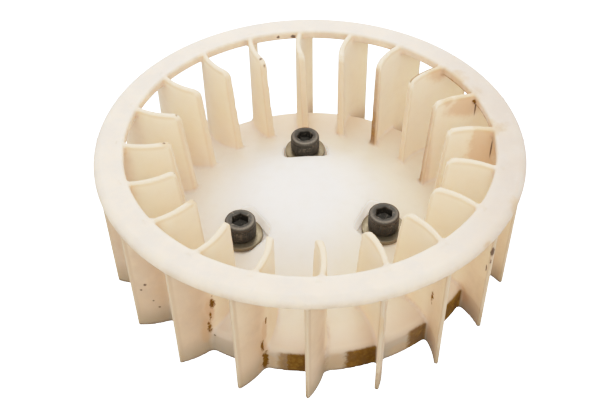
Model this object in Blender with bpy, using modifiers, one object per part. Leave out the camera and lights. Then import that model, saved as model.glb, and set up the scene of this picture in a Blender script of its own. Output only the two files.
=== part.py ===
"""Cooling-fan wheel of a small engine's magneto flywheel.

It is one nylon moulding with three cap screws on washers and a steel collar in each screw hole.

Metres, +Z up. The origin is on the spin axis, in the plane of the skirt's lower edge.
"""

from math import acos, atan2, cos, exp, pi, radians, sin, tau

import bmesh
import bpy
from mathutils import Matrix, Vector

MM = 0.001

# Ring, hub plate and skirt.
RING_OUTER_RADIUS = 67.0 * MM
RING_INNER_RADIUS = 57.7 * MM
RING_THICKNESS = 3.4 * MM
RING_OUTER_CORNER = 2.4 * MM
RING_INNER_CORNER = 0.8 * MM
WHEEL_HEIGHT = 45.2 * MM
SKIRT_RADIUS = 56.8 * MM
SKIRT_THICKNESS = 2.4 * MM
SKIRT_CORNER = 1.8 * MM
PLATE_THICKNESS = 2.6 * MM
DOME_TOP = 21.8 * MM
DOME_FOOT = 9.8 * MM
DOME_FOOT_RADIUS = 58.0 * MM
SHOULDER_HEIGHT = 1.4 * MM
SHOULDER_RADIUS = 19.0 * MM
SHOULDER_WIDTH = 9.0 * MM

# Blades: in plan an arc about one centre, bulging forward and leaning back at the tip.
BLADE_COUNT = 20
BLADE_ARC_RADIUS = 23.5 * MM
BLADE_APEX_RADIUS = 51.3 * MM
BLADE_APEX_OFFSET = 3.0 * MM
BLADE_TIP_RADIUS = 66.2 * MM
BLADE_ROOT_RADIUS = 38.0 * MM
BLADE_TIP_THICKNESS = 1.3 * MM
BLADE_ROOT_THICKNESS = 2.3 * MM
BLADE_TOP = 44.95 * MM

# The open eye inside the blades is a cone that widens towards the ring.
EYE_LOW_RADIUS = 40.5 * MM
EYE_LOW_HEIGHT = 12.4 * MM
EYE_TOP_RADIUS = 43.2 * MM
EYE_TOP_CORNER = 2.5 * MM

# Screw pads: flat seats let into the dome, with a straight wall towards the axis.
SCREW_COUNT = 3
SCREW_CIRCLE_RADIUS = 26.5 * MM
SCREW_PHASE = radians(2.4)
PAD_RADIUS = 7.5 * MM
PAD_INNER_REACH = 7.4 * MM
PAD_CORNER = 2.5 * MM
PAD_HEIGHT = 15.0 * MM
PAD_WALL = 1.8 * MM
SEAT_HEIGHT = 8.0 * MM
RIB_THICKNESS = 2.0 * MM
RIB_START = 30.0 * MM
RIB_FOOT = 8.5 * MM

# M6 x 16 socket-head screws, their washers and collars.
HEAD_RADIUS = 5.0 * MM
HEAD_HEIGHT = 6.0 * MM
HEAD_CHAMFER = 0.5 * MM
SOCKET_ACROSS_FLATS = 5.0 * MM
SOCKET_DEPTH = 3.0 * MM
SHANK_RADIUS = 3.0 * MM
SHANK_LENGTH = 16.0 * MM
SHANK_CHAMFER = 0.8 * MM
WASHER_RADIUS = 7.0 * MM
WASHER_THICKNESS = 1.6 * MM
CLEARANCE_RADIUS = 3.3 * MM
COLLAR_RADIUS = 4.5 * MM
COLLAR_GAP = 0.15 * MM
REST_GAP = 0.2 * MM

TURN_STEPS = 72
SMALL_TURN_STEPS = 24
PROFILE_POINTS = 11
ARC_POINTS = 3
BLADE_POINTS = 7
OVERSHOOT = 2.0 * MM
MERGE_DISTANCE = 0.00001
WELD_DISTANCE = 0.000002
SMOOTH_ANGLE = radians(35)

# Colour, roughness and metallic value of each finish.
NYLON = ((0.86, 0.79, 0.66, 1.0), 0.42, 0.0)
BLACK_OXIDE = ((0.055, 0.05, 0.045, 1.0), 0.45, 0.9)
YELLOW_ZINC = ((0.36, 0.31, 0.20, 1.0), 0.42, 0.9)
BARE_STEEL = ((0.55, 0.55, 0.54, 1.0), 0.35, 1.0)


def new_collection(name):
    collection = bpy.data.collections.new(name)
    bpy.context.scene.collection.children.link(collection)
    return collection


def new_material(name, finish):
    colour, roughness, metallic = finish
    material = bpy.data.materials.new(name)
    material.use_nodes = True
    shader = material.node_tree.nodes["Principled BSDF"]
    shader.inputs["Base Color"].default_value = colour
    shader.inputs["Roughness"].default_value = roughness
    shader.inputs["Metallic"].default_value = metallic
    return material


def add_object(name, mesh, collection):
    obj = bpy.data.objects.new(name, mesh)
    collection.objects.link(obj)
    return obj


def add_helper(name, mesh):
    """A cutter or another operand of a Boolean, which isn't a piece itself."""
    obj = add_object(name, mesh, helpers)
    obj.hide_render = True
    obj.display_type = "WIRE"
    return obj


def turned(name, profile, steps=TURN_STEPS):
    """A helper turned about the Z axis from (radius, height) points that run down its outer side.

    A profile that starts and ends on the axis is solid there, and any other is closed on itself.
    """
    bm = bmesh.new()
    points = [bm.verts.new((radius, 0.0, height)) for radius, height in profile]
    for first, second in zip(points, points[1:]):
        bm.edges.new((first, second))
    if profile[0][0] > 0.0:
        bm.edges.new((points[-1], points[0]))
    mesh = bpy.data.meshes.new(name)
    bm.to_mesh(mesh)
    bm.free()
    obj = add_helper(name, mesh)
    turn = obj.modifiers.new("turn", "SCREW")
    turn.axis = "Z"
    turn.angle = tau
    turn.steps = steps
    turn.render_steps = steps
    turn.use_merge_vertices = True
    turn.merge_threshold = MERGE_DISTANCE
    return obj


def extruded(name, outlines, low, high):
    """A helper made of one upright prism for each plan outline."""
    bm = bmesh.new()
    for outline in outlines:
        base = bm.faces.new([bm.verts.new((x, y, low)) for x, y in outline])
        grown = bmesh.ops.extrude_face_region(bm, geom=[base])["geom"]
        top = [item for item in grown if isinstance(item, bmesh.types.BMVert)]
        bmesh.ops.translate(bm, verts=top, vec=(0.0, 0.0, high - low))
    bmesh.ops.recalc_face_normals(bm, faces=bm.faces)
    mesh = bpy.data.meshes.new(name)
    bm.to_mesh(mesh)
    bm.free()
    return add_helper(name, mesh)


def add_boolean(obj, operation, operand):
    """Adds a Boolean, and a Weld that joins the double points it can leave where faces lie in one plane."""
    modifier = obj.modifiers.new(operand.name, "BOOLEAN")
    modifier.operation = operation
    modifier.object = operand
    weld = obj.modifiers.new(f"weld_{operand.name}", "WELD")
    weld.merge_threshold = WELD_DISTANCE


def bake(name, obj):
    """The evaluated shape of a helper as a mesh, with its round faces smooth."""
    graph = bpy.context.evaluated_depsgraph_get()
    graph.update()
    mesh = bpy.data.meshes.new_from_object(obj.evaluated_get(graph))
    mesh.name = name
    mesh.shade_smooth()
    mesh.set_sharp_from_angle(angle=SMOOTH_ANGLE)
    mesh.materials.clear()
    return mesh


def corner(x, y, radius, start, end):
    """Points of a round corner about (x, y), from one angle to another."""
    angles = [start + (end - start) * i / ARC_POINTS for i in range(ARC_POINTS + 1)]
    return [(x + radius * cos(angle), y + radius * sin(angle)) for angle in angles]


def turned_about_axis(outline, angle):
    turn = Matrix.Rotation(angle, 2)
    return [tuple(turn @ Vector(point)) for point in outline]


def dome_height(radius):
    """Height of the plate's upper face: a bell from the centre down to the skirt, with a full shoulder."""
    bell = (DOME_TOP - DOME_FOOT) * (1.0 + cos(pi * radius / DOME_FOOT_RADIUS)) / 2.0
    return DOME_FOOT + bell + SHOULDER_HEIGHT * exp(-(((radius - SHOULDER_RADIUS) / SHOULDER_WIDTH) ** 2))


def dome_points(last, drop):
    radii = [last * i / PROFILE_POINTS for i in range(PROFILE_POINTS + 1)]
    return [(radius, dome_height(radius) - drop) for radius in radii]


def hub_profile():
    last = SKIRT_RADIUS - SKIRT_CORNER
    edge = corner(last, dome_height(last) - SKIRT_CORNER, SKIRT_CORNER, pi / 2, 0.0)
    return [*dome_points(last, 0.0)[:-1], *edge, (SKIRT_RADIUS, 0.0), (0.0, 0.0)]


def cavity_profile():
    wall = SKIRT_RADIUS - SKIRT_THICKNESS
    return [*dome_points(wall, PLATE_THICKNESS), (wall, -OVERSHOOT), (0.0, -OVERSHOOT)]


def ring_profile():
    low = WHEEL_HEIGHT - RING_THICKNESS
    inner = RING_INNER_RADIUS + RING_INNER_CORNER
    outer = RING_OUTER_RADIUS - RING_OUTER_CORNER
    over_inner = corner(inner, WHEEL_HEIGHT - RING_INNER_CORNER, RING_INNER_CORNER, pi, pi / 2)
    over_outer = corner(outer, WHEEL_HEIGHT - RING_OUTER_CORNER, RING_OUTER_CORNER, pi / 2, 0.0)
    return [*over_inner, *over_outer, (RING_OUTER_RADIUS, low), (RING_INNER_RADIUS, low)]


def eye_profile():
    slope = (EYE_TOP_RADIUS - EYE_LOW_RADIUS) / (BLADE_TOP - EYE_LOW_HEIGHT)
    below = EYE_LOW_RADIUS - slope * (EYE_LOW_HEIGHT + OVERSHOOT)
    centre = EYE_TOP_RADIUS + EYE_TOP_CORNER
    flare = corner(centre, BLADE_TOP - EYE_TOP_CORNER, EYE_TOP_CORNER, pi / 2, pi)
    above = BLADE_TOP + OVERSHOOT
    return [(0.0, above), (centre, above), *flare, (below, -OVERSHOOT), (0.0, -OVERSHOOT)]


def crown_profile():
    """The blades' tops inside the ring, which would break through its round outer corner."""
    inner, outer = RING_INNER_RADIUS + 2.0 * RING_INNER_CORNER, RING_OUTER_RADIUS + OVERSHOOT
    low, high = WHEEL_HEIGHT - RING_THICKNESS / 2.0, WHEEL_HEIGHT + OVERSHOOT
    return [(inner, high), (outer, high), (outer, low), (inner, low)]


def blade_outline():
    """Plan outline of the blade that points along -Y. The arc's angle 0 is the blade's foremost point."""
    centre = Vector((BLADE_APEX_OFFSET - BLADE_ARC_RADIUS, -BLADE_APEX_RADIUS))

    def angle_at(distance):
        cosine = (distance**2 - centre.length_squared - BLADE_ARC_RADIUS**2) / (
            2.0 * BLADE_ARC_RADIUS * centre.length
        )
        return atan2(centre.y, centre.x) + acos(cosine)

    root, tip = angle_at(BLADE_ROOT_RADIUS), angle_at(BLADE_TIP_RADIUS)
    front, back = [], []
    for i in range(BLADE_POINTS + 1):
        share = i / BLADE_POINTS
        angle = root + (tip - root) * share
        half = (BLADE_ROOT_THICKNESS + (BLADE_TIP_THICKNESS - BLADE_ROOT_THICKNESS) * share) / 2.0
        outward = Vector((cos(angle), sin(angle)))
        front.append(centre + outward * (BLADE_ARC_RADIUS + half))
        back.append(centre + outward * (BLADE_ARC_RADIUS - half))
    return [*front, *reversed(back)]


def pad_outline(margin):
    """Plan outline of the screw pad that lies on -Y: round outside, straight towards the axis."""
    side = PAD_RADIUS + margin
    reach = PAD_INNER_REACH + margin
    radius = PAD_CORNER + margin
    outer = corner(0.0, -SCREW_CIRCLE_RADIUS, side, -pi, -pi / 2)[:-1]
    outer += corner(0.0, -SCREW_CIRCLE_RADIUS, side, -pi / 2, 0.0)
    inner_y = -SCREW_CIRCLE_RADIUS + reach - radius
    right = corner(side - radius, inner_y, radius, 0.0, pi / 2)
    left = corner(radius - side, inner_y, radius, pi / 2, pi)
    return [*outer, *right, *left]


def rib_outline():
    half = RIB_THICKNESS / 2.0
    end = SKIRT_RADIUS - SKIRT_THICKNESS / 2.0
    return [(-half, -end), (half, -end), (half, -RIB_START), (-half, -RIB_START)]


def around(outline, count, phase=0.0):
    """The outline repeated evenly about the spin axis."""
    return [turned_about_axis(outline, phase + tau * i / count) for i in range(count)]


def screw_angles():
    return [SCREW_PHASE + tau * i / SCREW_COUNT + pi / SCREW_COUNT for i in range(SCREW_COUNT)]


def screw_place(angle, height):
    return Vector((SCREW_CIRCLE_RADIUS * sin(angle), -SCREW_CIRCLE_RADIUS * cos(angle), height))


def make_fan_wheel():
    """The moulding: a solid hub joined to the ring, blades and pads, then hollowed from below and cut."""
    pad_phase = screw_angles()[0]
    plate_top = DOME_TOP + OVERSHOOT

    blades = extruded("blades", around(blade_outline(), BLADE_COUNT), 0.0, BLADE_TOP)
    add_boolean(blades, "DIFFERENCE", turned("blade_eye", eye_profile()))
    add_boolean(blades, "DIFFERENCE", turned("blade_crown", crown_profile()))

    cavity = turned("cavity", cavity_profile())
    boss_outlines = around(pad_outline(PAD_WALL), SCREW_COUNT, pad_phase)
    bosses = extruded("bosses", boss_outlines, SEAT_HEIGHT, plate_top)
    ribs = extruded("ribs", around(rib_outline(), 2 * SCREW_COUNT, pad_phase), RIB_FOOT, plate_top)
    add_boolean(cavity, "DIFFERENCE", bosses)
    add_boolean(cavity, "DIFFERENCE", ribs)

    pad_outlines = around(pad_outline(0.0), SCREW_COUNT, pad_phase)
    pads = extruded("pads", pad_outlines, SEAT_HEIGHT, PAD_HEIGHT + REST_GAP)
    pocket_outlines = around(pad_outline(REST_GAP), SCREW_COUNT, pad_phase)
    pockets = extruded("pockets", pocket_outlines, PAD_HEIGHT, plate_top)
    bore_outline = [
        (
            (COLLAR_RADIUS + COLLAR_GAP) * sin(tau * i / SMALL_TURN_STEPS),
            (COLLAR_RADIUS + COLLAR_GAP) * cos(tau * i / SMALL_TURN_STEPS) - SCREW_CIRCLE_RADIUS,
        )
        for i in range(SMALL_TURN_STEPS)
    ]
    bore_outlines = around(bore_outline, SCREW_COUNT, pad_phase)
    bores = extruded("bores", bore_outlines, SEAT_HEIGHT - OVERSHOOT, plate_top)

    hub = turned("hub", hub_profile())
    add_boolean(hub, "UNION", turned("ring", ring_profile()))
    add_boolean(hub, "UNION", blades)
    add_boolean(hub, "UNION", pads)
    add_boolean(hub, "DIFFERENCE", cavity)
    add_boolean(hub, "DIFFERENCE", pockets)
    add_boolean(hub, "DIFFERENCE", bores)
    wheel = add_object("fan_wheel", bake("fan_wheel", hub), pieces)
    wheel.data.materials.append(new_material("ivory_nylon", NYLON))


def make_screws():
    """Screws with their origins under the head, on their own axes."""
    head = [(0.0, HEAD_HEIGHT), (HEAD_RADIUS - HEAD_CHAMFER, HEAD_HEIGHT)]
    head += [(HEAD_RADIUS, HEAD_HEIGHT - HEAD_CHAMFER), (HEAD_RADIUS, 0.0), (SHANK_RADIUS, 0.0)]
    shank = [(SHANK_RADIUS, SHANK_CHAMFER - SHANK_LENGTH), (SHANK_RADIUS - SHANK_CHAMFER, -SHANK_LENGTH)]
    body = turned("screw_body", [*head, *shank, (0.0, -SHANK_LENGTH)], SMALL_TURN_STEPS)
    reach = SOCKET_ACROSS_FLATS / 2.0 / cos(pi / 6)
    hexagon = [(reach * cos(tau * i / 6), reach * sin(tau * i / 6)) for i in range(6)]
    socket_floor = HEAD_HEIGHT - SOCKET_DEPTH
    add_boolean(
        body, "DIFFERENCE", extruded("socket", [hexagon], socket_floor, HEAD_HEIGHT + OVERSHOOT)
    )
    mesh = bake("cap_screw", body)
    mesh.materials.append(new_material("black_oxide", BLACK_OXIDE))
    height = PAD_HEIGHT + REST_GAP + WASHER_THICKNESS + REST_GAP
    for i, angle in enumerate(screw_angles()):
        add_object(f"cap_screw_{i + 1}", mesh, pieces).location = screw_place(angle, height)


def make_tubes(name, outer_radius, inner_radius, low, high, material):
    """A short tube around each screw, with its origin in its lower face."""
    top = high - low
    outline = [(inner_radius, top), (outer_radius, top), (outer_radius, 0.0), (inner_radius, 0.0)]
    mesh = bake(name, turned(f"{name}_body", outline, SMALL_TURN_STEPS))
    mesh.materials.append(material)
    for i, angle in enumerate(screw_angles()):
        add_object(f"{name}_{i + 1}", mesh, pieces).location = screw_place(angle, low)


for leftover in list(bpy.data.objects):
    bpy.data.objects.remove(leftover, do_unlink=True)
pieces = new_collection("cooling_fan_wheel")
helpers = new_collection("cutters")

make_fan_wheel()
make_screws()
washer_low = PAD_HEIGHT + REST_GAP
make_tubes(
    "washer",
    WASHER_RADIUS,
    CLEARANCE_RADIUS,
    washer_low,
    washer_low + WASHER_THICKNESS,
    new_material("yellow_zinc", YELLOW_ZINC),
)
make_tubes(
    "collar",
    COLLAR_RADIUS,
    CLEARANCE_RADIUS,
    SEAT_HEIGHT,
    PAD_HEIGHT,
    new_material("bare_steel", BARE_STEEL),
)
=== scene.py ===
"""Looks of the cooling-fan wheel: the moulding as one fine skin, screws, washers, collars and the stage.

Shapes are in millimetres in the row frame until they become meshes. +Z is the spin axis and -Y is the front.
"""

from math import atan2, cos, hypot, pi, radians, sin, sqrt, tau

import bpy
import numpy as np
from mathutils import Matrix, Vector


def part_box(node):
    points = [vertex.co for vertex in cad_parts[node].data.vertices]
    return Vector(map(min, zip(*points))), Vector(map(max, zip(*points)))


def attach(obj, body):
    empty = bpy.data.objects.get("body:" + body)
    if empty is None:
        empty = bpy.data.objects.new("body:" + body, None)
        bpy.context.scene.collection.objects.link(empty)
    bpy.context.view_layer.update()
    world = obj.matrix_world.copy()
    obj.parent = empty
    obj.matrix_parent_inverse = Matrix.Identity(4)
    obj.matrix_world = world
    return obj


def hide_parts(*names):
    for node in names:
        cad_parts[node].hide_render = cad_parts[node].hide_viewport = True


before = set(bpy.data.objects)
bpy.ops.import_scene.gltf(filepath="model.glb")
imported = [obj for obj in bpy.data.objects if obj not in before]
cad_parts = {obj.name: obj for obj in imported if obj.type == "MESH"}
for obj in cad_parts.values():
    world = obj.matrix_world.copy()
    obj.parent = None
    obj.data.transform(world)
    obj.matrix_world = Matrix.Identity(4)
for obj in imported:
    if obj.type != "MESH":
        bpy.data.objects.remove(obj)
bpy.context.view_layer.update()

MM = 0.001

# ---------------------------------------------------------------- the moulding's sizes, as in the CAD
TOP = 45.2
RING_OUTER, RING_INNER, RING_LOW = 67.0, 57.7, 41.8
SKIRT_OUTER, SKIRT_INNER = 56.8, 54.4
DOME_FOOT, DOME_RISE, DOME_RADIUS, PLATE = 9.8, 12.0, 58.0, 2.6
SHOULDER, SHOULDER_RADIUS, SHOULDER_WIDTH = 1.4, 19.0, 9.0
BLADES = 20
ARC_RADIUS, APEX_RADIUS, APEX_OFFSET = 23.5, 51.3, 3.0
TIP_RADIUS, ROOT_RADIUS = 66.2, 38.0
ROOT_THICKNESS, TIP_THICKNESS = 2.3, 1.3
BLADE_TOP = 44.95
EYE_LOW, EYE_TOP, EYE_LOW_HEIGHT, EYE_CORNER = 40.5, 43.2, 12.4, 2.5
SCREW_CIRCLE, SCREW_PHASE, SCREW_STEP = 26.5, radians(62.4), tau / 3
PAD_SIDE, PAD_REACH, PAD_ROUND, PAD_HEIGHT, PAD_WALL = 7.5, 7.4, 2.5, 15.0, 1.8
SEAT, RIB_FOOT, RIB_START, RIB_HALF = 8.0, 8.5, 30.0, 1.0
BORE = 4.65


# ---------------------------------------------------------------- distance fields
def round_and(a, b, radius):
    """Intersection of two solids given by distances, with the edge between them rounded off."""
    rest = np.minimum(-radius, np.maximum(a, b))
    return rest + np.hypot(np.maximum(a + radius, 0.0), np.maximum(b + radius, 0.0))


def fillet_or(a, b, radius):
    """Union of two solids given by distances, with a fillet where they meet."""
    rest = np.maximum(radius, np.minimum(a, b))
    return rest - np.hypot(np.maximum(radius - a, 0.0), np.maximum(radius - b, 0.0))


def folded(angle, step):
    """The angle measured from the nearest of the directions 0, step, 2 step..."""
    return angle - step * np.round(angle / step)


def arc_angle(distance):
    """Angle on the blade's arc at a distance from the spin axis."""
    reach = hypot(APEX_OFFSET - ARC_RADIUS, APEX_RADIUS)
    cosine = (distance**2 - reach**2 - ARC_RADIUS**2) / (2.0 * ARC_RADIUS * reach)
    return atan2(-APEX_RADIUS, APEX_OFFSET - ARC_RADIUS) + np.arccos(cosine)


ARC_TIP, ARC_ROOT = float(arc_angle(TIP_RADIUS)), float(arc_angle(ROOT_RADIUS))


def blade_frame(x, y):
    """For each point the nearest blade's plan distance, its number, and which side of it the point is on."""
    cx, cy = APEX_OFFSET - ARC_RADIUS, -APEX_RADIUS
    r = np.hypot(x, y)
    middle = arc_angle(np.clip(r, 36.0, 68.0))
    lean = np.arctan2(cx + ARC_RADIUS * np.cos(middle), -(cy + ARC_RADIUS * np.sin(middle)))
    number = np.round((np.arctan2(x, -y) - lean) * BLADES / tau)
    turn = -number * tau / BLADES
    px = x * np.cos(turn) - y * np.sin(turn) - cx
    py = x * np.sin(turn) + y * np.cos(turn) - cy
    centre = (ARC_TIP + ARC_ROOT) / 2.0
    angle = centre + folded(np.arctan2(py, px) - centre, tau)
    share = np.clip((ARC_ROOT - angle) / (ARC_ROOT - ARC_TIP), 0.0, 1.0)
    half = (ROOT_THICKNESS + (TIP_THICKNESS - ROOT_THICKNESS) * share) / 2.0
    side = np.hypot(px, py) - ARC_RADIUS
    end = np.maximum(ARC_TIP - angle, angle - ARC_ROOT - 0.12) * ARC_RADIUS
    return round_and(np.abs(side) - half, end, 0.4), number % BLADES, side


def pad_plan(x, y):
    """Plan distances from the nearest screw's axis and from the outline of its pad."""
    r, angle = np.hypot(x, y), folded(np.arctan2(x, -y) - SCREW_PHASE, SCREW_STEP)
    u, v = r * np.sin(angle), r * np.cos(angle) - SCREW_CIRCLE
    qu, qv = np.abs(u) - PAD_SIDE + PAD_ROUND, -v - PAD_REACH + PAD_ROUND
    square = np.hypot(np.maximum(qu, 0.0), np.maximum(qv, 0.0))
    square = square + np.minimum(np.maximum(qu, qv), 0.0) - PAD_ROUND
    axis = np.hypot(u, v)
    return axis, np.where(v > 0.0, axis - PAD_SIDE, square)


def wheel_field(x, y, z):
    """Distance from the moulding's skin, negative inside, with the distances of ring, blades and hub."""
    r = np.hypot(x, y)
    inward = np.minimum(r, DOME_RADIUS)
    past = (inward - SHOULDER_RADIUS) / SHOULDER_WIDTH
    swell = SHOULDER * np.exp(-(past**2))
    dome = DOME_FOOT + DOME_RISE * (1.0 + np.cos(pi * inward / DOME_RADIUS)) / 2.0 + swell
    slope = DOME_RISE / 2.0 * pi / DOME_RADIUS * np.sin(pi * inward / DOME_RADIUS)
    slope = slope + 2.0 * past / SHOULDER_WIDTH * swell
    level = 1.0 / np.sqrt(1.0 + slope**2)

    hub = round_and((z - dome) * level, r - SKIRT_OUTER, 1.8)
    ring = round_and(r - RING_OUTER, z - TOP, 2.6)
    ring = round_and(ring, RING_LOW - z, 0.7)
    ring = round_and(ring, RING_INNER - r, 0.8)

    plan, *_ = blade_frame(x, y)
    widen = (EYE_TOP - EYE_LOW) / (BLADE_TOP - EYE_LOW_HEIGHT)
    eye = (EYE_LOW + widen * (z - EYE_LOW_HEIGHT) - r) / sqrt(1.0 + widen**2)
    blade = round_and(plan, round_and(eye, z - BLADE_TOP, EYE_CORNER), 0.55)
    blade = np.maximum(blade, np.minimum(r - RING_INNER - 1.8, z - TOP + 1.7))

    axis, pad = pad_plan(x, y)
    wheel = fillet_or(fillet_or(hub, blade, 1.3), ring, 0.9)
    wheel = fillet_or(wheel, round_and(pad, z - PAD_HEIGHT, 0.5), 0.7)

    hollow = round_and((z - dome + PLATE) * level, r - SKIRT_INNER, 1.2)
    boss = round_and(pad - PAD_WALL, SEAT - z, 0.5)
    angle = folded(np.arctan2(x, -y) - SCREW_PHASE, SCREW_STEP / 2.0)
    rib = round_and(np.abs(r * np.sin(angle)) - RIB_HALF, RIB_FOOT - z, 0.6)
    rib = round_and(rib, RIB_START - r * np.cos(angle), 0.6)
    hollow = round_and(hollow, -fillet_or(boss, rib, 0.8), 0.9)

    wheel = np.maximum(wheel, -hollow)
    wheel = round_and(wheel, -round_and(pad - 0.2, PAD_HEIGHT - z, 0.7), 0.5)
    wheel = round_and(wheel, BORE - axis, 0.25)
    return round_and(wheel, -z, 0.45), ring, blade, hub


def skin(x, y, z):
    return wheel_field(x, y, z)[0]


def gradient(points, step=0.02):
    sides = []
    for i in range(3):
        shift = np.zeros(3)
        shift[i] = step
        sides.append(skin(*(points + shift).T) - skin(*(points - shift).T))
    return np.stack(sides, 1) / (2.0 * step)


def settled(points, rounds, reach):
    """The points moved onto the zero level of the field."""
    for _ in range(rounds):
        slope = gradient(points)
        step = skin(*points.T)[:, None] * slope / np.maximum((slope**2).sum(1), 0.05)[:, None]
        length = np.linalg.norm(step, axis=1, keepdims=True)
        points = points - step * np.minimum(1.0, reach / np.maximum(length, 1e-9))
    return points


def surface_net(pitch):
    """Vertices and quads of the zero level, one vertex for each grid cell that it crosses."""
    low = np.array([-68.0, -68.0, -1.0])
    count = np.ceil(np.array([136.0, 136.0, 47.2]) / pitch).astype(int) + 1
    x, y, z = [low[i] + pitch * np.arange(count[i]) for i in range(3)]
    field = skin(x[:, None, None], y[None, :, None], z[None, None, :]).astype(np.float32)
    inside = field < 0.0
    near = np.zeros(count - 1, np.int8)
    corners = [(i, j, k) for i in (0, 1) for j in (0, 1) for k in (0, 1)]
    for i, j, k in corners:
        near += inside[i : count[0] - 1 + i, j : count[1] - 1 + j, k : count[2] - 1 + k]
    cells = np.argwhere((near > 0) & (near < 8))
    number = np.full(count - 1, -1, np.int32)
    number[tuple(cells.T)] = np.arange(len(cells))
    total, crossings = np.zeros((len(cells), 3)), np.zeros(len(cells))
    for a in corners:
        for axis in range(3):
            if a[axis]:
                continue
            b = list(a)
            b[axis] = 1
            fa = field[tuple((cells + a).T)]
            fb = field[tuple((cells + b).T)]
            crossed = (fa < 0.0) != (fb < 0.0)
            share = np.where(crossed, fa / np.where(crossed, fa - fb, 1.0), 0.0)
            place = cells + np.array(a, float)
            place[:, axis] += share
            total += place * crossed[:, None]
            crossings += crossed
    points = low + pitch * total / crossings[:, None]
    quads = []
    for axis in range(3):
        one, two = (axis + 1) % 3, (axis + 2) % 3
        ahead = np.roll(inside, -1, axis)
        crossed = inside != ahead
        edge = [slice(1, -1)] * 3
        edges = np.argwhere(crossed[tuple(edge)]) + 1
        here = inside[tuple(edges.T)]
        around = []
        for du, dv in ((-1, -1), (0, -1), (0, 0), (-1, 0)):
            cell = edges.copy()
            cell[:, one] += du
            cell[:, two] += dv
            around.append(number[tuple(cell.T)])
        quad = np.stack(around, 1)
        quads.append(np.where(here[:, None], quad, quad[:, ::-1]))
    return points, np.concatenate(quads)


def mesh_from(name, points, faces):
    """A mesh of equal-sided faces from arrays, in metres."""
    mesh = bpy.data.meshes.new(name)
    sides = faces.shape[1]
    mesh.vertices.add(len(points))
    mesh.vertices.foreach_set("co", (points * MM).astype(np.float32).ravel())
    mesh.loops.add(faces.size)
    mesh.loops.foreach_set("vertex_index", faces.astype(np.int32).ravel())
    mesh.polygons.add(len(faces))
    mesh.polygons.foreach_set("loop_start", np.arange(0, faces.size, sides, dtype=np.int32))
    mesh.update(calc_edges=True)
    mesh.validate()
    return mesh


def add_piece(name, mesh, body, slot, material, *nodes):
    obj = bpy.data.objects.new(name, mesh)
    bpy.context.scene.collection.objects.link(obj)
    mesh.materials.clear()
    mesh.materials.append(material)
    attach(obj, body)
    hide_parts(*nodes)
    return obj


def thinned(mesh, faces):
    """The mesh with about that many triangles, keeping flat and straight stretches the coarsest."""
    obj = bpy.data.objects.new("thinning", mesh)
    bpy.context.scene.collection.objects.link(obj)
    thin = obj.modifiers.new("thin", "DECIMATE")
    thin.ratio = min(1.0, faces / (2.0 * len(mesh.polygons)))
    thin.use_collapse_triangulate = True
    graph = bpy.context.evaluated_depsgraph_get()
    graph.update()
    made = bpy.data.meshes.new_from_object(obj.evaluated_get(graph))
    bpy.data.objects.remove(obj)
    bpy.data.meshes.remove(mesh)
    return made


def set_values(mesh, name, values):
    layer = mesh.attributes.new(name, "FLOAT", "POINT")
    layer.data.foreach_set("value", np.asarray(values, np.float32))


def wheel_mesh():
    pitch, faces = ((0.6, 190_000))
    points, quads = surface_net(pitch)
    points = settled(points, 3, pitch / 2.0)
    mesh = thinned(mesh_from("fan_wheel_skin", points, quads), faces)
    co = np.empty(len(mesh.vertices) * 3, np.float32)
    mesh.vertices.foreach_get("co", co)
    points = settled(co.reshape(-1, 3).astype(float) / MM, 1, pitch / 4.0)
    points[:, 2] = np.clip(points[:, 2], 0.0, TOP)
    points[:, :2] *= np.minimum(1.0, RING_OUTER / np.hypot(points[:, 0], points[:, 1]))[:, None]
    mesh.vertices.foreach_set("co", (points * MM).astype(np.float32).ravel())
    normals = gradient(points, 0.05)
    normals /= np.maximum(np.linalg.norm(normals, axis=1, keepdims=True), 1e-9)
    mesh.shade_smooth()
    mesh.normals_split_custom_set_from_vertices(normals.tolist())

    x, y, z = points.T
    _, ring, blade, hub = wheel_field(x, y, z)
    _, number, side = blade_frame(x, y)
    set_values(mesh, "ring", np.clip(1.0 - ring / 0.8, 0.0, 1.0))
    set_values(mesh, "blade", np.clip(1.0 - blade / 0.8, 0.0, 1.0))
    set_values(mesh, "hub", np.clip(1.0 - hub / 0.8, 0.0, 1.0))
    set_values(mesh, "hub_joint", np.exp(-(np.abs(hub) + np.abs(blade)) / 1.8))
    set_values(mesh, "number", number)
    set_values(mesh, "side", side)
    set_values(mesh, "pocket", np.clip(1.6 - np.abs(pad_plan(x, y)[1]), 0.0, 1.0))
    return mesh


# ---------------------------------------------------------------- turned pieces
def loops_mesh(name, loops):
    """A closed skin through rings of points that all have the same count, ending in a point at both ends."""
    count = len(loops[0])
    points = np.concatenate([*loops, [loops[0].mean(0)], [loops[-1].mean(0)]])
    quads, caps = [], []
    step = np.arange(count)
    ahead = (step + 1) % count
    for i in range(len(loops) - 1):
        here, above = i * count, (i + 1) * count
        quads.append(np.stack([here + step, above + step, above + ahead, here + ahead], 1))
    last = len(loops) - 1
    first_cap, last_cap = len(loops) * count, len(loops) * count + 1
    caps.append(np.stack([step, ahead, np.full(count, first_cap)], 1))
    caps.append(np.stack([last * count + ahead, last * count + step, np.full(count, last_cap)], 1))
    mesh = bpy.data.meshes.new(name)
    faces = np.concatenate(quads).tolist() + np.concatenate(caps).tolist()
    mesh.from_pydata((points * MM).tolist(), [], faces)
    mesh.update()
    return mesh


def smooth(mesh, angle=32):
    mesh.shade_smooth()
    mesh.set_sharp_from_angle(angle=radians(angle))
    return mesh


def circle(count, radius, height):
    turn = np.arange(count) * tau / count
    return np.stack([radius * np.cos(turn), radius * np.sin(turn), np.zeros(count) + height], 1)


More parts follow.
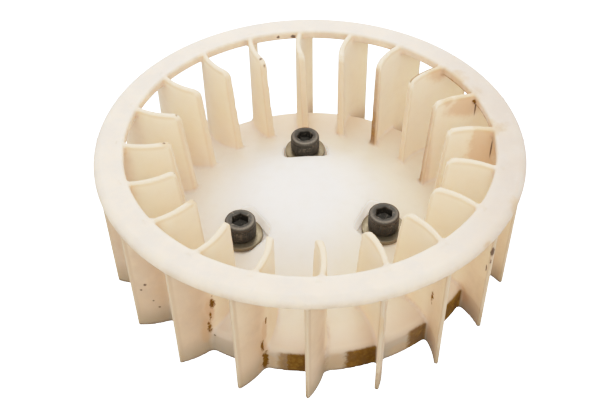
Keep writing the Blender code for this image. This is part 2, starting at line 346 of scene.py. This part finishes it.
def tube_mesh(name, outer, inner, low, high, edge, steps=96):
    """A plain tube whose four edges are rounded."""
    outline = []
    for radius, height, start in (
        (outer - edge, high - edge, 90),
        (outer - edge, low + edge, 0),
        (inner + edge, low + edge, -90),
        (inner + edge, high - edge, -180),
    ):
        for i in range(5):
            angle = radians(start - 22.5 * i)
            outline.append((radius + edge * cos(angle), height + edge * sin(angle)))
    count = len(outline)
    points = np.concatenate([circle(steps, radius, height) for radius, height in outline])
    step = np.arange(steps)
    ahead = (step + 1) % steps
    quads = []
    for i in range(count):
        j = (i + 1) % count
        here, next_one = i * steps, j * steps
        quads.append(np.stack([here + step, next_one + step, next_one + ahead, here + ahead], 1))
    mesh = bpy.data.meshes.new(name)
    mesh.from_pydata((points * MM).tolist(), [], np.concatenate(quads).tolist())
    mesh.update()
    return smooth(mesh, 50)


HEAD_HEIGHT, SHANK, SHANK_LENGTH = 6.0, 2.98, 16.0
SOCKET_HALF, SOCKET_DEPTH, THREAD_PITCH, THREAD_DEPTH = 2.5, 3.0, 1.0, 0.55
HEAD_STEPS = 144


def screw_mesh(name, worn):
    """A socket-head cap screw with its origin under the head. worn rounds the socket's corners."""
    count = HEAD_STEPS
    turn = np.arange(count) * tau / count
    flat = SOCKET_HALF / np.cos(folded(turn - pi / 6, pi / 3))
    corner = SOCKET_HALF / cos(pi / 6)
    toward_corner = np.clip((flat - SOCKET_HALF) / (corner - SOCKET_HALF), 0, 1)
    hexagon = flat + worn * (corner - 0.1 - flat) * toward_corner**0.5

    def ring(radius, height):
        return np.stack([radius * np.cos(turn), radius * np.sin(turn), np.zeros(count) + height], 1)

    # Up the socket from its floor, over the rim, and down the knurled side to the shank.
    top, floor = HEAD_HEIGHT, HEAD_HEIGHT - SOCKET_DEPTH
    loops = [ring(0.3, floor - 0.75), ring(1.5, floor - 0.35), ring(hexagon - 0.35, floor)]
    loops += [ring(hexagon, floor + 0.15), ring(hexagon, top - 1.2), ring(hexagon, top - 0.25)]
    loops += [ring(hexagon + 0.12, top - 0.08), ring(np.maximum(hexagon + 0.25, 2.95), top - 0.02)]
    loops += [ring(3.35, top), ring(4.25, top), ring(4.5, top - 0.04), ring(4.78, top - 0.22)]
    loops += [ring(4.92, top - 0.5), ring(4.94, top - 0.95), ring(4.84, top - 1.1), ring(4.8, top - 1.25)]
    knurl = 0.055 * np.cos(turn * 48)
    loops += [ring(4.83, top - 1.4)]
    loops += [ring(4.93 + knurl, top - 1.6 - 0.6 * i) for i in range(6)]
    loops += [ring(4.92 + knurl * 0.6, 0.85), ring(4.86, 0.62), ring(4.84, 0.3), ring(4.7, 0.08)]
    loops += [ring(4.5, 0.0), ring(3.55, 0.0), ring(3.2, -0.03), ring(2.99, -0.2), ring(2.97, -0.5)]
    low, high = -SHANK_LENGTH, -0.9
    rows = int((high - low) / THREAD_PITCH * 8)
    for i in range(rows + 1):
        height = high + (low - high) * i / rows
        wave = np.abs(folded(height / THREAD_PITCH - turn / tau, 1.0)) * 2.0
        cut = THREAD_DEPTH * np.clip((1.0 - wave) * 1.25 - 0.12, 0.0, 1.0)
        fade = min(1.0, (high - height) / 0.8)
        end = max(0.0, 0.9 - (height - low)) * 0.9
        loops.append(ring(np.minimum(SHANK - cut * fade, SHANK - end), height))
    loops.append(ring(1.2, low))
    mesh = smooth(loops_mesh(name, loops), 38)
    x, y, z = np.array([v.co for v in mesh.vertices]).T / MM
    radius = np.hypot(x, y)
    # The rim is the head's worn top edge, with a painted highlight: it is weighted towards the front, where
    # the light catches it.
    rim = np.clip(1.0 - np.abs(radius - 4.3) / 0.75, 0.0, 1.0)
    rim = rim * np.clip((z - HEAD_HEIGHT) / 0.5 + 1.0, 0.0, 1.0)
    set_values(mesh, "rim", rim * (0.65 - 0.35 * y / np.maximum(radius, 0.1)))
    return mesh


# ---------------------------------------------------------------- material nodes
class Nodes:
    """A material built from short calls, whose arguments are sockets, numbers or colours."""

    def __init__(self, name):
        self.material = bpy.data.materials.new(name)
        self.material.use_nodes = True
        self.tree = self.material.node_tree
        self.shader = self.tree.nodes["Principled BSDF"]
        self.output = self.tree.nodes["Material Output"]

    def put(self, socket, value):
        if isinstance(value, bpy.types.NodeSocket):
            self.tree.links.new(value, socket)
        elif value is not None:
            plain = socket.default_value
            if hasattr(plain, "__len__") and len(plain) == 4 and len(value) == 3:
                value = (*value, 1.0)
            socket.default_value = value

    def add(self, kind, inputs=(), output=0, **settings):
        node = self.tree.nodes.new("ShaderNode" + kind)
        for key, value in settings.items():
            setattr(node, key, value)
        for key, value in dict(inputs).items():
            self.put(node.inputs[key], value)
        return node.outputs[output]

    def math(self, operation, a, b=None, c=None):
        return self.add("Math", {0: a, 1: b, 2: c}, operation=operation)

    def mul(self, a, b):
        return self.math("MULTIPLY", a, b)

    def plus(self, a, b):
        return self.math("ADD", a, b)

    def most(self, a, b):
        return self.math("MAXIMUM", a, b)

    def minus(self, a, b):
        return self.math("SUBTRACT", a, b)

    def fit(self, value, low, high, to_low=0.0, to_high=1.0, kind="SMOOTHSTEP"):
        """value mapped from low..high to the other range, held beyond it."""
        return self.add(
            "MapRange",
            {"Value": value, "From Min": low, "From Max": high, "To Min": to_low, "To Max": to_high},
            interpolation_type=kind,
        )

    def mix(self, factor, a, b, blend="MIX"):
        node = self.tree.nodes.new("ShaderNodeMix")
        node.data_type = "RGBA"
        node.blend_type = blend
        self.put(node.inputs[0], factor)
        self.put(node.inputs[6], a)
        self.put(node.inputs[7], b)
        return node.outputs[2]

    def value(self, name):
        return self.add("Attribute", attribute_name=name, output=2)

    def noise(self, scale, detail=4.0, roughness=0.55, stretch=(1.0, 1.0, 1.0), seed=0.0, output=0):
        """Noise with scale counted in features per millimetre, drawn along the object's own axes."""
        counted = tuple(s / MM for s in stretch)
        place = self.add("VectorMath", {0: self.place(), 1: counted}, operation="MULTIPLY")
        shifted = self.add("VectorMath", {0: place, 1: (seed, seed * 0.7, -seed)}, operation="ADD")
        settings = {"Vector": shifted, "Scale": scale, "Detail": detail, "Roughness": roughness}
        return self.add("TexNoise", settings, output=output)

    def place(self):
        return self.add("TexCoord", output=3)

    def split(self):
        node = self.tree.nodes.new("ShaderNodeSeparateXYZ")
        self.tree.links.new(self.place(), node.inputs[0])
        return node.outputs

    def blob(self, centre, radius, ragged, rough, narrow):
        """A soft-edged patch about a point in millimetres. The noise in rough makes its outline ragged."""
        centre = tuple(c * MM for c in centre)
        away = self.add("VectorMath", {0: self.place(), 1: centre}, operation="SUBTRACT")
        shares = tuple(s / radius / MM for s in narrow)
        scaled = self.add("VectorMath", {0: away, 1: shares}, operation="MULTIPLY")
        distance = self.add("VectorMath", {0: scaled}, operation="LENGTH", output=1)
        return self.fit(self.plus(distance, self.mul(rough, ragged)), 1.15, 0.45)


def on_wheel(turn, radius, height):
    """Millimetre coordinates from degrees round from the front, radius and height."""
    return radius * sin(radians(turn)), -radius * cos(radians(turn)), height


# Colours of the nylon, from new to aged, and of what has settled on it; some stand for painted light and
# shade instead: near white light on the pocket walls, shade on the ring's right side, and shade low on the
# skirt and along its bottom edge.
IVORY, PEARL, CREAM, TAN = (0.77, 0.67, 0.56), (0.85, 0.79, 0.735), (0.95, 0.775, 0.60), (0.66, 0.50, 0.34)
PAINTED_POCKET_LIGHT, RIGHT_SIDE_SHADE, SHADE = (0.98, 0.92, 0.84), (0.60, 0.49, 0.40), (0.36, 0.275, 0.165)
EDGE, TIP, GREY = (0.74, 0.56, 0.39), (0.58, 0.44, 0.30), (0.48, 0.39, 0.29)
SMUDGE_AND_SHADE, STAIN, SOOT_AND_SHADE = (0.60, 0.40, 0.22), (0.17, 0.072, 0.004), (0.08, 0.045, 0.022)
OCHRE = (0.33, 0.175, 0.03)

# Oil that has dried on the skirt's wall, each patch between two directions in degrees round from the front.
PATCHES = ((-10.5, -2.0, 0.75), (-8.5, -2.0, 1.0), (9.5, 20.0, 1.0), (30.5, 38.0, 0.9), (43.0, 56.0, 1.0))

# Marks: degrees round from the front, radius, height, size, how ragged, narrowing along X, Y and Z.
EVEN, UPRIGHT, CRACK = (1.0, 1.0, 1.0), (1.3, 1.3, 0.4), (1.0, 1.0, 0.07)
# Most smudges are dirt; the large ones on the blades' faces under the ring's inner edge, near 91, 110 and
# 127 degrees at radius 55 to 57, are painted shade.
SMUDGE_AND_SHADE_MARKS = (
    (-14.0, 56.8, 3.5, 4.0, 1.2, EVEN),
    (6.0, 56.8, 4.0, 4.5, 1.2, EVEN),
    (27.0, 56.8, 1.5, 4.0, 1.2, EVEN),
    (-33.3, 58.2, 11.0, 3.2, 1.2, UPRIGHT),
    (-32.6, 56.2, 19.0, 2.4, 1.2, UPRIGHT),
    (-14.9, 57.6, 10.0, 2.8, 1.2, UPRIGHT),
    (-14.6, 56.2, 18.0, 2.0, 1.2, UPRIGHT),
    (56.0, 58.6, 6.0, 3.4, 1.0, EVEN),
    (54.6, 57.4, 9.0, 2.2, 1.0, EVEN),
    (15.9, 65.9, 31.0, 1.6, 1.2, UPRIGHT),
    (109.9, 55.0, 42.0, 7.0, 0.9, EVEN),
    (109.6, 57.2, 41.5, 3.6, 0.9, EVEN),
    (127.5, 55.5, 43.0, 4.5, 0.9, EVEN),
    (110.5, 49.0, 45.0, 3.0, 1.2, EVEN),
    (119.8, 57.7, 43.4, 4.0, 1.2, EVEN),
    (91.0, 56.5, 37.0, 7.0, 1.5, (1.0, 1.0, 0.55)),
    (-136.0, 57.0, 38.0, 2.5, 1.2, UPRIGHT),
    (-88.0, 45.0, 45.0, 2.0, 1.2, EVEN),
    (-52.0, 44.5, 45.0, 2.5, 1.2, EVEN),
    (-41.0, 19.8, 18.8, 1.2, 1.0, EVEN),
    (62.0, 66.9, 42.6, 3.5, 1.2, EVEN),
    (47.0, 66.9, 42.4, 3.0, 1.2, EVEN),
)
STAINS = (
    (-32.3, 55.2, 21.5, 1.2, 2.0, UPRIGHT),
    (-32.9, 57.0, 12.0, 1.1, 2.2, UPRIGHT),
    (-32.6, 56.4, 16.5, 0.7, 2.2, UPRIGHT),
    (-15.1, 57.8, 12.0, 1.1, 2.2, UPRIGHT),
    (-14.8, 57.2, 5.0, 1.7, 2.0, UPRIGHT),
    (-14.3, 55.3, 21.0, 0.7, 2.2, UPRIGHT),
    (37.1, 58.0, 21.5, 0.9, 2.2, UPRIGHT),
    (108.8, 57.6, 43.0, 0.9, 1.6, EVEN),
)
SPECKS = (
    (-106.1, 43.8, 44.8, 0.8, 1.5, EVEN),
    (-88.6, 43.6, 44.8, 0.85, 1.5, EVEN),
    (-87.6, 45.2, 44.9, 0.6, 1.5, EVEN),
    (-70.3, 43.2, 44.4, 0.8, 1.5, EVEN),
    (-52.3, 43.0, 44.4, 1.1, 1.6, EVEN),
    (-159.3, 44.8, 44.8, 0.75, 1.6, EVEN),
    (-160.0, 43.2, 42.6, 0.45, 1.2, UPRIGHT),
    (-169.9, 57.8, 43.4, 0.7, 1.5, EVEN),
    (-175.4, 57.8, 43.2, 1.0, 1.7, EVEN),
    (108.7, 57.9, 42.0, 0.5, 1.2, EVEN),
    (109.05, 58.35, 40.4, 0.3, 0.3, CRACK),
    (91.25, 57.85, 37.4, 0.3, 0.3, CRACK),
    (92.4, 57.9, 36.4, 0.22, 0.3, CRACK),
    (52.0, 66.0, 34.5, 0.7, 1.6, UPRIGHT),
    (51.9, 66.0, 30.5, 0.5, 1.4, UPRIGHT),
    (52.1, 65.0, 27.0, 0.6, 1.6, UPRIGHT),
    (-53.3, 63.0, 19.3, 0.6, 1.2, EVEN),
    (-54.0, 64.2, 17.1, 0.45, 1.2, EVEN),
    (-52.6, 61.5, 11.6, 0.4, 1.2, EVEN),
    (-52.0, 60.1, 8.1, 0.6, 1.2, EVEN),
    (-157.0, 66.3, 44.4, 0.9, 1.8, (0.6, 0.8, 1.3)),
    (-144.0, 66.4, 44.3, 0.7, 1.8, EVEN),
    (-31.4, 56.8, 8.2, 0.5, 1.2, EVEN),
    (-55.0, 9.5, 22.5, 0.4, 1.2, EVEN),
    (-94.4, 10.5, 22.3, 0.3, 1.2, EVEN),
    (162.8, 6.4, 22.3, 0.35, 1.2, EVEN),
    (-65.0, 54.8, 41.0, 0.6, 1.2, EVEN),
)


def marks(n, table, rough):
    """The strongest of a table's marks at each point."""
    total = 0.0
    for turn, radius, height, size, ragged, narrow in table:
        total = n.most(total, n.blob(on_wheel(turn, radius, height), size, ragged, rough, narrow))
    return total


def only_blade(n, number, wanted):
    """One on a single blade, counted round from the front one."""
    return n.fit(n.math("ABSOLUTE", n.minus(number, wanted)), 0.1, 0.0, kind="LINEAR")


class Moulding(Nodes):
    """The moulding's material, with its place in millimetres and degrees, its masks and its noise."""

    def __init__(self, name):
        super().__init__(name)
        self.ring, self.blade, self.hub = self.value("ring"), self.value("blade"), self.value("hub")
        self.number, self.side = self.value("number"), self.value("side")
        self.x, self.y, z = self.split()
        squares = self.plus(self.mul(self.x, self.x), self.mul(self.y, self.y))
        self.height = self.mul(z, 1000.0)
        self.radius = self.mul(self.math("SQRT", squares), 1000.0)
        self.turn = self.math("DEGREES", self.math("ARCTAN2", self.x, self.mul(self.y, -1.0)))
        self.not_blade = self.minus(1.0, self.blade)
        self.bare_blade = self.mul(self.blade, self.minus(1.0, self.ring))
        self.bare_hub = self.mul(self.hub, self.not_blade)

        facing = self.tree.nodes.new("ShaderNodeSeparateXYZ")
        self.put(facing.inputs[0], self.add("NewGeometry", output=1))
        steep = self.fit(self.math("ABSOLUTE", facing.outputs[2]), 0.75, 0.45)
        self.pocket = self.mul(self.mul(self.value("pocket"), steep), self.fit(self.height, 14.9, 15.6))

        self.cloudy = self.noise(0.035, 4.0, 0.6, seed=3.1)
        self.blotchy = self.noise(0.11, 4.0, 0.6, seed=17.0)
        self.fine = self.noise(0.22, 5.0, 0.62, seed=11.0)
        self.speckle = self.noise(0.75, 5.0, 0.7, seed=23.0)
        self.rough = self.swing(self.mul(self.fine, 0.45), self.mul(self.speckle, 0.55))
        self.soft = self.swing(self.mul(self.blotchy, 0.5), self.mul(self.fine, 0.5))

    def swing(self, a, b):
        """Two shares of noise as one that swings about zero."""
        return self.mul(self.minus(self.plus(a, b), 0.5), 2.6)


def plate_colour(n):
    """New nylon in the middle of the plate, turning cream towards its rim and tan at its back."""
    colour = n.mix(n.hub, IVORY, PEARL)
    rim = n.mul(n.fit(n.radius, 13.0, 42.0, 0.1, 1.0), n.fit(n.x, -0.03, 0.0, 0.7, 1.0))
    rim = n.plus(rim, n.mul(n.fit(n.x, 0.0, 0.012), n.fit(n.radius, 6.0, 16.0, 0.0, 0.3)))
    colour = n.mix(n.mul(n.bare_hub, rim), colour, CREAM)
    return n.mix(n.mul(n.bare_hub, n.mul(n.fit(n.y, 0.03, 0.05), 0.3)), colour, TAN)


def aged_blades_with_light_and_shade(n, colour):
    """Thin blades are creamer and lighter than the ring and the plate, most of all low down at their tips:
    partly yellowing, partly painted light that stands in for light coming through the thin nylon.
    """
    aged = n.mul(n.bare_blade, n.fit(n.height, 46.0, 30.0, 0.8, 1.0))
    aged = n.mul(aged, n.fit(n.cloudy, 0.3, 0.75, 0.9, 1.1))
    # Painted light: low on the inner faces near the plate, on the left, the blades are kept paler as if lit
    # by light bouncing off the plate.
    low_down = n.mul(n.fit(n.height, 28.0, 13.0), n.fit(n.radius, 55.0, 47.0))
    plate_bounce_light = n.mul(n.mul(low_down, n.fit(n.x, 0.0, -0.03)), 0.6)
    colour = n.mix(n.mul(aged, n.minus(1.0, plate_bounce_light)), colour, CREAM)

    # The outer parts below the ring are tan, partly aged colour and partly painted shade: stronger on the
    # left-front, weaker on the right and back, and stronger low down.
    outer = n.mul(n.fit(n.radius, 54.0, 59.5), n.fit(n.height, 44.0, 10.0, 0.65, 1.0))
    outer = n.mul(outer, n.mul(n.fit(n.x, -0.02, 0.04, 1.15, 0.55), n.fit(n.y, 0.03, -0.01, 0.3, 1.0)))
    outer = n.mul(n.bare_blade, outer)
    colour = n.mix(n.mul(outer, n.fit(n.blotchy, 0.3, 0.7, 0.8, 1.0)), colour, TAN)
    clouds = n.plus(n.mul(n.fine, 0.5), n.mul(n.cloudy, 0.5))
    colour = n.mix(n.mul(outer, n.fit(clouds, 0.42, 0.62, 0.0, 0.3)), colour, GREY)

    eye_edge = n.plus(n.mul(n.height, 0.083), 39.5)
    inner_edge = n.fit(n.minus(n.radius, eye_edge), 1.3, 0.3)
    border = n.mul(n.bare_blade, n.most(inner_edge, n.fit(n.height, 43.0, 44.6)))
    colour = n.mix(n.mul(border, 0.75), colour, EDGE)
    return n.mix(n.mul(n.bare_blade, n.fit(n.radius, 65.1, 65.7, 0.0, 0.85)), colour, TIP)


def aged_and_shaded_skirt(n, colour):
    """Tan on the skirt's wall, painted shade low down on it, and grey painted shade along the plate's front
    edge.
    """
    wall = n.mul(n.fit(n.radius, 55.2, 56.4), n.mul(n.fit(n.height, 12.0, 7.0), n.not_blade))
    colour = n.mix(n.mul(wall, 0.75), colour, TAN)
    # Painted shade: darker low down on the skirt and the blades' feet, where less light reaches.
    low = n.mul(n.fit(n.height, 12.0, 0.0), n.fit(n.radius, 53.0, 57.0))
    colour = n.mix(n.mul(low, 0.75), colour, SHADE)
    # Painted shade: grey along the plate's front edge, next to the top of the skirt.
    front_edge_shade = n.mul(n.bare_hub, n.mul(n.fit(n.radius, 47.0, 56.0), n.fit(n.y, -0.02, -0.045)))
    return n.mix(n.mul(front_edge_shade, 0.42), colour, GREY)


def aged_and_shaded_ring(n, colour):
    """Tan on the ring's outer side and inner lip, cream clouds, and painted shade on its right side."""
    side = n.mul(n.ring, n.mul(n.fit(n.radius, 65.6, 66.7), n.fit(n.height, 44.6, 42.4)))
    colour = n.mix(n.mul(side, 0.8), colour, TAN)
    colour = n.mix(n.mul(n.mul(n.ring, n.fit(n.radius, 59.0, 57.7)), 0.45), colour, TAN)
    clouds = n.fit(n.plus(n.mul(n.blotchy, 0.5), n.mul(n.fine, 0.5)), 0.4, 0.62, 0.0, 0.6)
    colour = n.mix(n.mul(n.ring, clouds), colour, CREAM)
    # Painted shade: the ring's right side is darkened where less light falls on it.
    right_side_shade = n.mul(n.mul(n.ring, n.fit(n.x, 0.025, 0.066)), n.fit(n.blotchy, 0.3, 0.65, 0.45, 0.8))
    return n.mix(right_side_shade, colour, RIGHT_SIDE_SHADE)


def skirt_oil(n):
    """How much dried oil there is in the patches on the skirt's wall."""
    patch = 0.0
    for first, last, strength in PATCHES:
        begun = n.fit(n.plus(n.turn, n.mul(n.rough, 2.0)), first - 1.0, first + 1.0)
        patch = n.most(patch, n.mul(n.mul(begun, n.fit(n.turn, last + 0.5, last)), strength))
    under_top = n.fit(n.plus(n.height, n.mul(n.rough, 0.5)), 9.2, 8.2)
    skirt = n.mul(n.fit(n.radius, 55.6, 56.3), under_top)
    worn = n.mul(n.fit(n.blade, 0.9, 0.3, 0.15, 1.0), n.fit(n.fine, 0.3, 0.6, 0.93, 1.0))
    return n.mul(n.mul(patch, skirt), worn)


def streaks(n):
    """Oil down two of the blades' inner edges, along one crest, and under part of the ring's edge."""
    edge = n.mul(n.fit(n.height, 9.5, 11.5), n.fit(n.side, -1.0, 0.0, 0.35, 1.0))
    edge = n.mul(n.mul(n.blade, n.fit(n.radius, 44.6, 42.8)), edge)
    edge = n.mul(edge, n.mul(n.fit(n.height, 46.0, 11.0, 0.4, 0.95), n.fit(n.fine, 0.35, 0.6, 0.75, 1.0)))
    edge = n.mul(edge, n.plus(only_blade(n, n.number, 8.0), n.mul(only_blade(n, n.number, 6.0), 0.7)))
    crest = n.mul(n.fit(n.math("ABSOLUTE", n.minus(n.side, 0.5)), 0.5, 0.2), n.fit(n.height, 44.0, 44.5))
    crest = n.mul(crest, n.mul(only_blade(n, n.number, 7.0), n.fit(n.radius, 57.0, 55.0)))
    seam = n.mul(n.fit(n.height, 43.1, 42.3), n.fit(n.radius, 58.9, 58.3))
    seam = n.mul(seam, n.mul(n.ring, n.fit(n.speckle, 0.3, 0.55, 0.5, 1.0)))
    seam = n.mul(seam, n.mul(n.fit(n.turn, 88.0, 96.0), n.fit(n.turn, 129.0, 124.0)))
    return n.most(edge, n.mul(n.most(crest, seam), 0.75))


def oil_mask(n):
    """Where oil has dried: patches, corners where blades meet the hub, single stains and streaks."""
    ragged = n.mul(n.fit(n.speckle, 0.42, 0.62), n.fit(n.cloudy, 0.45, 0.65))
    corner = n.mul(n.fit(n.value("hub_joint"), 0.3, 0.9), ragged)
    stained = n.most(n.most(skirt_oil(n), n.mul(corner, 0.3)), marks(n, STAINS, n.rough))
    return n.most(stained, streaks(n))


def nylon():
    n = Moulding("ivory_nylon")
    colour = aged_and_shaded_ring(n, aged_and_shaded_skirt(n, aged_blades_with_light_and_shade(n, plate_colour(n))))
    # Painted light: the pocket walls round the screws are painted near white, standing in for light that
    # comes through the thin nylon.
    colour = n.mix(n.pocket, colour, PAINTED_POCKET_LIGHT)
    colour = n.mix(n.fit(n.fine, 0.42, 0.78, 0.0, 0.12), colour, TAN)

    colour = n.mix(n.mul(marks(n, SMUDGE_AND_SHADE_MARKS, n.soft), 0.6), colour, SMUDGE_AND_SHADE)
    stained = oil_mask(n)
    thin_oil = n.fit(n.plus(n.mul(n.speckle, 0.4), n.mul(n.fine, 0.6)), 0.45, 0.62, 0.0, 0.8)
    colour = n.mix(stained, colour, n.mix(thin_oil, STAIN, OCHRE))
    # Painted shade: a dark band along the very bottom edge of the skirt and the blades.
    bottom_edge_shade = n.mul(n.fit(n.height, 1.8, 0.2), n.fit(n.radius, 54.0, 57.0))
    colour = n.mix(n.mul(bottom_edge_shade, 0.55), colour, SOOT_AND_SHADE)
    colour = n.mix(n.mul(marks(n, SPECKS, n.rough), 0.9), colour, SOOT_AND_SHADE)

    n.put(n.shader.inputs["Base Color"], colour)
    n.put(n.shader.inputs["Roughness"], n.plus(n.plus(0.38, n.mul(n.fine, 0.14)), n.mul(stained, 0.3)))
    n.put(n.shader.inputs["Specular IOR Level"], n.minus(0.5, n.mul(stained, 0.42)))
    n.put(n.shader.inputs["IOR"], 1.53)
    opaque = n.most(n.mul(n.pocket, 0.9), stained)
    n.put(n.shader.inputs["Subsurface Weight"], n.mul(0.8, n.minus(1.0, opaque)))
    n.put(n.shader.inputs["Subsurface Radius"], (1.0, 0.86, 0.72))
    n.put(n.shader.inputs["Subsurface Scale"], 0.004)
    # A weak glow stands in for the light that comes through the thin walls round the screws.
    n.put(n.shader.inputs["Emission Color"], (1.0, 0.90, 0.78))
    n.put(n.shader.inputs["Emission Strength"], n.mul(n.pocket, 0.27))
    waves, grain = n.noise(0.5, 4.0, 0.6, seed=5.0), n.noise(3.0, 3.0, 0.5, seed=7.0)
    bumps = n.plus(n.mul(waves, 0.5), n.mul(grain, 0.06))
    bump = n.add("Bump", {"Height": bumps, "Strength": 0.25, "Distance": 0.0004})
    n.put(n.shader.inputs["Normal"], bump)
    return n.material


def steel(name, colour, worn, roughness, metallic):
    """Plated or oxidised steel whose finish thins at its edges, and lightens where the attribute rim says:
    wear, with a painted highlight that is strongest on the front.
    """
    n = Nodes(name)
    grain = n.noise(1.6, 5.0, 0.65, seed=2.0)
    patches = n.noise(0.35, 4.0, 0.6, seed=9.0)
    edge = n.fit(n.add("NewGeometry", output=7), 0.5, 0.62)
    uneven = n.plus(n.mul(grain, 0.5), n.mul(patches, 0.5))
    wear_and_highlight = n.most(n.mul(edge, 0.6), n.fit(uneven, 0.50, 0.68, 0.0, 0.7))
    wear_and_highlight = n.most(wear_and_highlight, n.mul(n.value("rim"), n.fit(grain, 0.3, 0.6, 0.4, 1.0)))
    n.put(n.shader.inputs["Base Color"], n.mix(n.mul(wear_and_highlight, 0.9), colour, worn))
    n.put(n.shader.inputs["Metallic"], metallic)
    n.put(n.shader.inputs["Roughness"], n.fit(grain, 0.3, 0.7, roughness - 0.1, roughness + 0.15))
    bump = n.add("Bump", {"Height": n.noise(2.6, 4.0, 0.6, seed=4.0), "Strength": 0.35, "Distance": 0.0001})
    n.put(n.shader.inputs["Normal"], bump)
    return n.material


# ---------------------------------------------------------------- the object
nylon_material = nylon()
screw_material = steel("black_oxide", (0.033, 0.028, 0.021), (0.25, 0.21, 0.16), 0.46, 0.5)
washer_material = steel("yellow_zinc", (0.22, 0.18, 0.115), (0.38, 0.32, 0.23), 0.42, 0.85)
collar_material = steel("bare_steel", (0.45, 0.44, 0.42), (0.30, 0.22, 0.16), 0.38, 1.0)

add_piece("wheel_moulding", wheel_mesh(), "wheel", "ivory_nylon", nylon_material, "fan_wheel")

HEX_TURN = (20.0, 8.0, 31.0)
SOCKET_WEAR = (0.35, 0.6, 0.1)
for i in range(3):
    tag = i + 1
    low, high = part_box(f"cap_screw_{tag}")
    axis = Vector(((low.x + high.x) / 2.0, (low.y + high.y) / 2.0, high.z - HEAD_HEIGHT * MM))
    mesh = screw_mesh(f"screw_{tag}_skin", SOCKET_WEAR[i])
    mesh.transform(Matrix.Translation(axis) @ Matrix.Rotation(radians(HEX_TURN[i]), 4, "Z"))
    add_piece(f"socket_screw_{tag}", mesh, f"screw_{tag}", "black_oxide", screw_material, f"cap_screw_{tag}")

    low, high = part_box(f"washer_{tag}")
    mesh = tube_mesh(f"washer_{tag}_skin", 7.0, 3.3, 0.0, 1.6, 0.22)
    mesh.transform(Matrix.Translation(Vector((axis.x, axis.y, low.z))))
    add_piece(f"plain_washer_{tag}", mesh, f"washer_{tag}", "yellow_zinc", washer_material, f"washer_{tag}")

    low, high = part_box(f"collar_{tag}")
    mesh = tube_mesh(f"collar_{tag}_skin", 4.5, 3.3, 0.0, (high.z - low.z) / MM, 0.2)
    mesh.transform(Matrix.Translation(Vector((axis.x, axis.y, low.z))))
    add_piece(f"steel_collar_{tag}", mesh, "wheel", "bare_steel", collar_material, f"collar_{tag}")


# ---------------------------------------------------------------- floor, light and camera
def floor_material():
    """White to the camera alone, plain to every other ray, and clear from below."""
    n = Nodes("pale_floor")
    n.put(n.shader.inputs["Base Color"], (0.55, 0.55, 0.55))
    n.put(n.shader.inputs["Roughness"], 0.85)
    n.put(n.shader.inputs["Specular IOR Level"], 0.0)
    n.put(n.shader.inputs["Emission Color"], (1.0, 1.0, 1.0))
    n.put(n.shader.inputs["Emission Strength"], n.mul(n.add("LightPath"), 2.0))
    clear = n.tree.nodes.new("ShaderNodeBsdfTransparent")
    choose = n.tree.nodes.new("ShaderNodeMixShader")
    n.put(choose.inputs[0], n.add("NewGeometry", output=6))
    n.put(choose.inputs[1], n.shader.outputs[0])
    n.put(choose.inputs[2], clear.outputs[0])
    n.put(n.output.inputs["Surface"], choose.outputs[0])
    return n.material


def add_floor():
    half = 6.0
    mesh = bpy.data.meshes.new("floor")
    corners = [(-half, -half, 0.0), (half, -half, 0.0), (half, half, 0.0), (-half, half, 0.0)]
    mesh.from_pydata(corners, [], [(0, 1, 2, 3)])
    mesh.materials.append(floor_material())
    obj = bpy.data.objects.new("floor", mesh)
    obj.location.z = -0.00005
    bpy.context.scene.collection.objects.link(obj)


def add_lamp(name, place, target, size, power, colour=(1.0, 1.0, 1.0)):
    data = bpy.data.lights.new(name, "AREA")
    data.shape = "DISK"
    data.size = size
    data.energy = power
    data.color = colour
    obj = bpy.data.objects.new(name, data)
    obj.location = place
    obj.rotation_mode = "QUATERNION"
    obj.rotation_quaternion = (Vector(target) - Vector(place)).to_track_quat("-Z", "Y")
    bpy.context.scene.collection.objects.link(obj)


def add_world(strength):
    world = bpy.data.worlds.new("studio")
    world.use_nodes = True
    background = world.node_tree.nodes["Background"]
    background.inputs["Color"].default_value = (1.0, 1.0, 1.0, 1.0)
    background.inputs["Strength"].default_value = strength
    bpy.context.scene.world = world


def set_tones():
    """The picture's tones: brighter middle tones, and highlights that reach white gradually."""
    view = bpy.context.scene.view_settings
    view.view_transform = "Standard"
    view.use_curve_mapping = True
    curve = view.curve_mapping.curves[3]
    for place, level in ((0.1, 0.135), (0.3, 0.40), (0.5, 0.62), (0.7, 0.77), (0.9, 0.865)):
        curve.points.new(place, level)
    curve.points[-1].location = (1.0, 0.90)
    view.curve_mapping.update()


CAMERA_UNIT = 67.0 * MM
CAMERA_PLACE = (-0.0485, -3.3232, 3.4761)
CAMERA_TILT, CAMERA_ROLL, CAMERA_LENS = radians(44.06), radians(-1.01), 55.94


def add_camera():
    data = bpy.data.cameras.new("camera")
    data.lens = CAMERA_LENS
    data.sensor_width = 36.0
    data.clip_start, data.clip_end = 0.01, 50.0
    obj = bpy.data.objects.new("camera", data)
    ahead = Vector((0.0, cos(CAMERA_TILT), -sin(CAMERA_TILT)))
    up = Vector((0.0, sin(CAMERA_TILT), cos(CAMERA_TILT)))
    side = Vector((1.0, 0.0, 0.0))
    right = cos(CAMERA_ROLL) * side + sin(CAMERA_ROLL) * up
    over = -sin(CAMERA_ROLL) * side + cos(CAMERA_ROLL) * up
    turn = Matrix((right, over, -ahead)).transposed()
    obj.matrix_world = Matrix.Translation(Vector(CAMERA_PLACE) * CAMERA_UNIT) @ turn.to_4x4()
    bpy.context.scene.collection.objects.link(obj)
    bpy.context.scene.camera = obj


add_floor()
add_world(0.80)
add_lamp("back", (-0.02, 0.60, 0.64), (0.0, 0.0, 0.015), 0.5, 1.6)
add_lamp("front", (0.05, -0.75, 0.90), (0.0, 0.0, 0.02), 1.0, 2.8)
add_camera()
set_tones()
